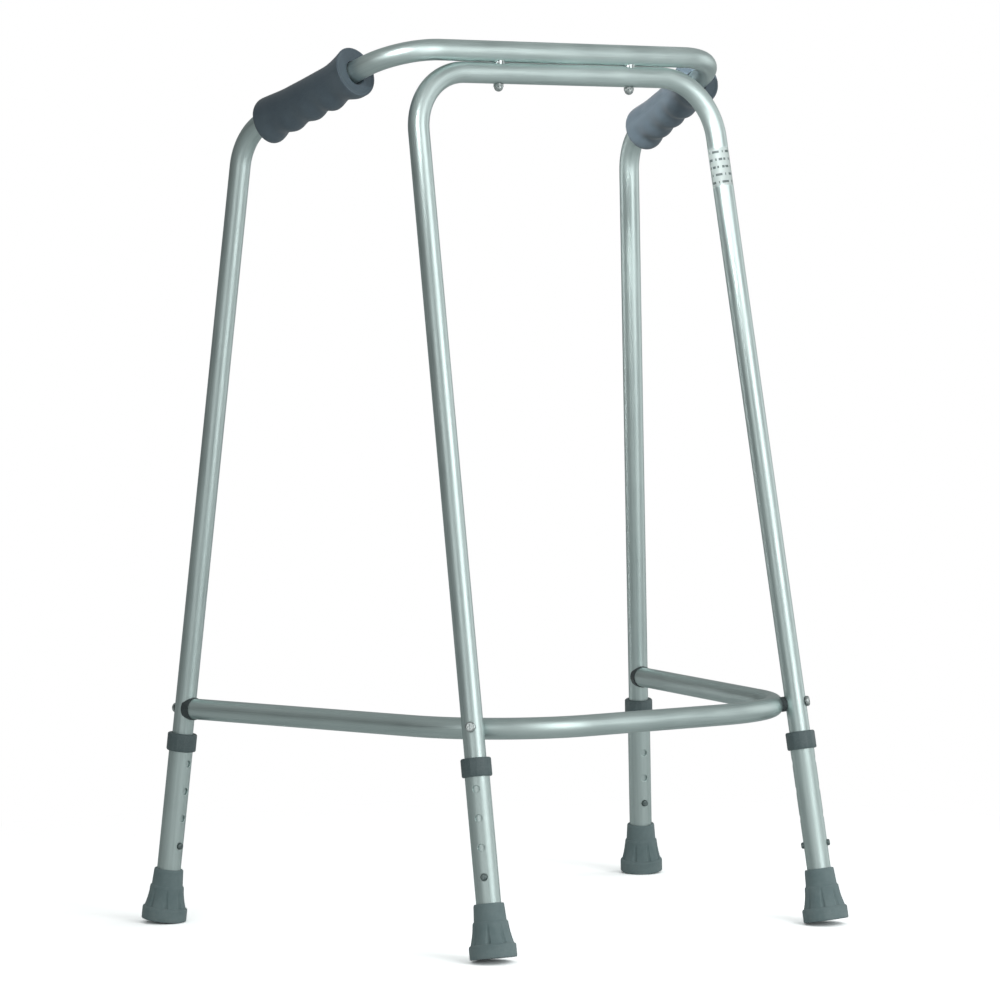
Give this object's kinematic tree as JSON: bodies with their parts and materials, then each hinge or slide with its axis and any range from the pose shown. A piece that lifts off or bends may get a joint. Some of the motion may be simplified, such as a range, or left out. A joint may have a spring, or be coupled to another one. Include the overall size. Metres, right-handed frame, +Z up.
{
  "type": "walking frame",
  "caption": "Height-adjustable aluminium walking frame with bent tube loops, shaped hand grips, a horseshoe brace and telescopic legs on rubber ferrules.",
  "frame": {"origin": "on the floor at the centre of the footprint, with the legs at their shortest", "axes": "+Z up, +Y towards the user who stands between the handles, +X to the right seen from the front"},
  "size_m": [0.6942, 0.5022, 0.9311],
  "materials": {
    "tube_anodised": "satin anodised tube with fine drawing lines",
    "sleeve_anodised": "satin anodised tube, a little brighter than the frame",
    "grip_vinyl": "soft matt moulded vinyl, slate",
    "collar_plastic": "moulded plastic, dark grey",
    "ferrule_rubber": "moulded rubber, mid grey",
    "dark_plastic": "moulded plastic, near black",
    "zinc_steel": "bright zinc plated",
    "button_steel": "plated steel, dulled",
    "spring_steel": "blued spring strip",
    "label_film": "plain white film, no print"
  },
  "bodies": {
    "root": {"handle_tube": "tube_anodised", "front_leg_tube": "tube_anodised", "lower_brace": "tube_anodised", "left_grip": "grip_vinyl", "right_grip": "grip_vinyl", "crossbar_inserts": "zinc_steel", "crossbar_studs": "zinc_steel", "crossbar_dome_nuts": "zinc_steel", "front_brace_screws": "zinc_steel", "front_brace_spacers": "dark_plastic", "front_brace_inserts": "zinc_steel", "rear_brace_screws": "zinc_steel", "rear_brace_saddles": "dark_plastic", "rear_brace_plugs": "dark_plastic", "blank_label": "label_film", "front_left_snap_spring": "spring_steel", "front_right_snap_spring": "spring_steel", "rear_left_snap_spring": "spring_steel", "rear_right_snap_spring": "spring_steel"},
    "front_left_extension": {"front_left_extension_tube": "sleeve_anodised", "front_left_collar": "collar_plastic", "front_left_ferrule": "ferrule_rubber", "front_left_ferrule_disc": "zinc_steel"},
    "front_left_outer_button": {"front_left_outer_button": "button_steel"},
    "front_left_inner_button": {"front_left_inner_button": "button_steel"},
    "front_right_extension": {"front_right_extension_tube": "sleeve_anodised", "front_right_collar": "collar_plastic", "front_right_ferrule": "ferrule_rubber", "front_right_ferrule_disc": "zinc_steel"},
    "front_right_outer_button": {"front_right_outer_button": "button_steel"},
    "front_right_inner_button": {"front_right_inner_button": "button_steel"},
    "rear_left_extension": {"rear_left_extension_tube": "sleeve_anodised", "rear_left_collar": "collar_plastic", "rear_left_ferrule": "ferrule_rubber", "rear_left_ferrule_disc": "zinc_steel"},
    "rear_left_outer_button": {"rear_left_outer_button": "button_steel"},
    "rear_left_inner_button": {"rear_left_inner_button": "button_steel"},
    "rear_right_extension": {"rear_right_extension_tube": "sleeve_anodised", "rear_right_collar": "collar_plastic", "rear_right_ferrule": "ferrule_rubber", "rear_right_ferrule_disc": "zinc_steel"},
    "rear_right_outer_button": {"rear_right_outer_button": "button_steel"},
    "rear_right_inner_button": {"rear_right_inner_button": "button_steel"}
  },
  "joints": [
    {"name": "front_left_height", "type": "slide", "parent": "root", "child": "front_left_extension", "axis": [-0.0266, -0.1802, -0.9833], "range_m": [0, 0.0885], "deforming": ["front_left_outer_button", "front_left_inner_button"]},
    {"name": "front_right_height", "type": "slide", "parent": "root", "child": "front_right_extension", "axis": [0.0266, -0.1802, -0.9833], "range_m": [0, 0.0885], "deforming": ["front_right_outer_button", "front_right_inner_button"]},
    {"name": "rear_left_height", "type": "slide", "parent": "root", "child": "rear_left_extension", "axis": [-0.0787, 0.081, -0.9936], "range_m": [0, 0.0885], "deforming": ["rear_left_outer_button", "rear_left_inner_button"]},
    {"name": "rear_right_height", "type": "slide", "parent": "root", "child": "rear_right_extension", "axis": [0.0787, 0.081, -0.9936], "range_m": [0, 0.0885], "deforming": ["rear_right_outer_button", "rear_right_inner_button"]},
    {"name": "front_left_outer_press", "type": "slide", "parent": "root", "child": "front_left_outer_button", "axis": [0.7231, 0.6757, -0.1434], "range_m": [0, 0.0043], "deforming": ["front_left_snap_spring"]},
    {"name": "front_left_inner_press", "type": "slide", "parent": "root", "child": "front_left_inner_button", "axis": [-0.7231, -0.6757, 0.1434], "range_m": [0, 0.0043], "deforming": ["front_left_snap_spring"]},
    {"name": "front_right_outer_press", "type": "slide", "parent": "root", "child": "front_right_outer_button", "axis": [-0.7231, 0.6757, -0.1434], "range_m": [0, 0.0043], "deforming": ["front_right_snap_spring"]},
    {"name": "front_right_inner_press", "type": "slide", "parent": "root", "child": "front_right_inner_button", "axis": [0.7231, -0.6757, 0.1434], "range_m": [0, 0.0043], "deforming": ["front_right_snap_spring"]},
    {"name": "rear_left_outer_press", "type": "slide", "parent": "root", "child": "rear_left_outer_button", "axis": [-0.2315, 0.968, 0.0973], "range_m": [0, 0.0043], "deforming": ["rear_left_snap_spring"]},
    {"name": "rear_left_inner_press", "type": "slide", "parent": "root", "child": "rear_left_inner_button", "axis": [0.2315, -0.968, -0.0973], "range_m": [0, 0.0043], "deforming": ["rear_left_snap_spring"]},
    {"name": "rear_right_outer_press", "type": "slide", "parent": "root", "child": "rear_right_outer_button", "axis": [0.2315, 0.968, 0.0973], "range_m": [0, 0.0043], "deforming": ["rear_right_snap_spring"]},
    {"name": "rear_right_inner_press", "type": "slide", "parent": "root", "child": "rear_right_inner_button", "axis": [-0.2315, -0.968, -0.0973], "range_m": [0, 0.0043], "deforming": ["rear_right_snap_spring"]}
  ],
  "couplings": [
    {"joint": "front_left_inner_press", "follows": "front_left_outer_press", "ratio": 1},
    {"joint": "front_right_inner_press", "follows": "front_right_outer_press", "ratio": 1},
    {"joint": "rear_left_inner_press", "follows": "rear_left_outer_press", "ratio": 1},
    {"joint": "rear_right_inner_press", "follows": "rear_right_outer_press", "ratio": 1}
  ]
}
